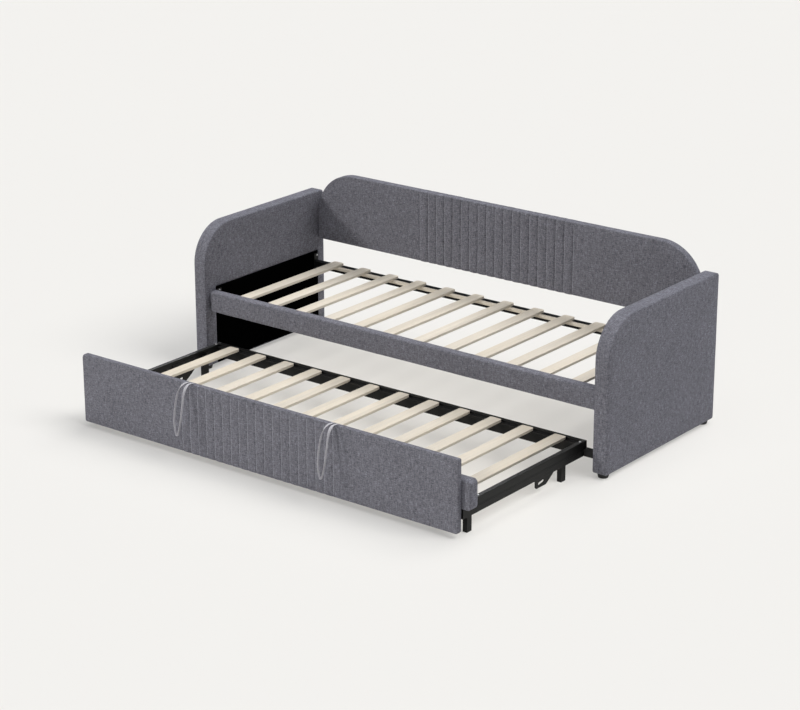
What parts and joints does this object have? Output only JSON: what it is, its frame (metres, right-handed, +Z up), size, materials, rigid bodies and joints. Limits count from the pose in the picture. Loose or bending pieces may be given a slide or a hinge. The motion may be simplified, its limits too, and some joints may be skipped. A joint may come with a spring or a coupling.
{
  "type": "trundle bed",
  "caption": "Upholstered daybed with channel-stitched back and a low trundle on a steel frame that slides out from under it; slatted decks, fabric pull loops.",
  "frame": {"origin": "bottom centre of the whole bed's box with the trundle pulled out, on the floor", "axes": "+X along the bed to the right as seen from the front, +Y to the back, the way the trundle closes, +Z up"},
  "size_m": [2.137, 1.6896, 0.746],
  "materials": {
    "upholstery": "woven melange, matte",
    "lining": "black felt lining, matte",
    "webbing": "flat woven tape, matte",
    "black_steel": "black powder coat, satin",
    "slat_wood": "planed pale wood, unfinished",
    "black_plastic": "moulded, matte"
  },
  "bodies": {
    "daybed": {"arm_left": "upholstery", "arm_right": "upholstery", "arm_liner_left": "lining", "arm_liner_right": "lining", "back_panel": "upholstery", "front_rail": "upholstery", "rear_rail": "black_steel", "front_rail_bracket_left": "black_steel", "front_rail_bracket_right": "black_steel", "rear_rail_bracket_left": "black_steel", "rear_rail_bracket_right": "black_steel", "slat_cleat_front": "slat_wood", "slat_cleat_rear": "slat_wood", "deck_slat_01": "slat_wood", "deck_slat_02": "slat_wood", "deck_slat_03": "slat_wood", "deck_slat_04": "slat_wood", "deck_slat_05": "slat_wood", "deck_slat_06": "slat_wood", "deck_slat_07": "slat_wood", "deck_slat_08": "slat_wood", "deck_slat_09": "slat_wood", "deck_slat_10": "slat_wood", "deck_slat_11": "slat_wood", "deck_slat_12": "slat_wood", "glide_foot_front_left": "black_plastic", "glide_foot_front_right": "black_plastic", "glide_foot_rear_left": "black_plastic", "glide_foot_rear_right": "black_plastic"},
    "trundle": {"trundle_front_panel": "upholstery", "trundle_padded_rail": "upholstery", "trundle_side_rail_left": "black_steel", "trundle_side_rail_right": "black_steel", "trundle_front_cross_rail": "black_steel", "trundle_rear_cross_rail": "black_steel", "trundle_slat_01": "slat_wood", "trundle_slat_02": "slat_wood", "trundle_slat_03": "slat_wood", "trundle_slat_04": "slat_wood", "trundle_slat_05": "slat_wood", "trundle_slat_06": "slat_wood", "trundle_slat_07": "slat_wood", "trundle_slat_08": "slat_wood", "trundle_slat_09": "slat_wood", "trundle_slat_10": "slat_wood", "trundle_slat_11": "slat_wood", "trundle_slat_12": "slat_wood", "trundle_leg_front_left": "black_steel", "trundle_leg_front_right": "black_steel", "trundle_leg_rear_left": "black_steel", "trundle_leg_rear_right": "black_steel", "slotted_bracket_left": "black_steel", "slotted_bracket_right": "black_steel", "panel_bracket_left": "black_steel", "panel_bracket_right": "black_steel", "guide_block_left": "black_plastic", "guide_block_right": "black_plastic"},
    "loop_left": {"pull_loop_left": "webbing"},
    "loop_right": {"pull_loop_right": "webbing"}
  },
  "joints": [
    {"name": "trundle_slide", "type": "slide", "parent": "daybed", "child": "trundle", "axis": [0, 1, 0], "range_m": [0, 0.802]},
    {"name": "pull_loop_left_swing", "type": "hinge", "parent": "trundle", "child": "loop_left", "pos_m": [-0.361, -0.76069, 0.319], "axis": [-1, 0, 0], "range_deg": [-14, 90], "stiffness_Nm_per_rad": 0.2},
    {"name": "pull_loop_right_swing", "type": "hinge", "parent": "trundle", "child": "loop_right", "pos_m": [0.372, -0.76069, 0.319], "axis": [-1, 0, 0], "range_deg": [-14, 90], "stiffness_Nm_per_rad": 0.2}
  ]
}
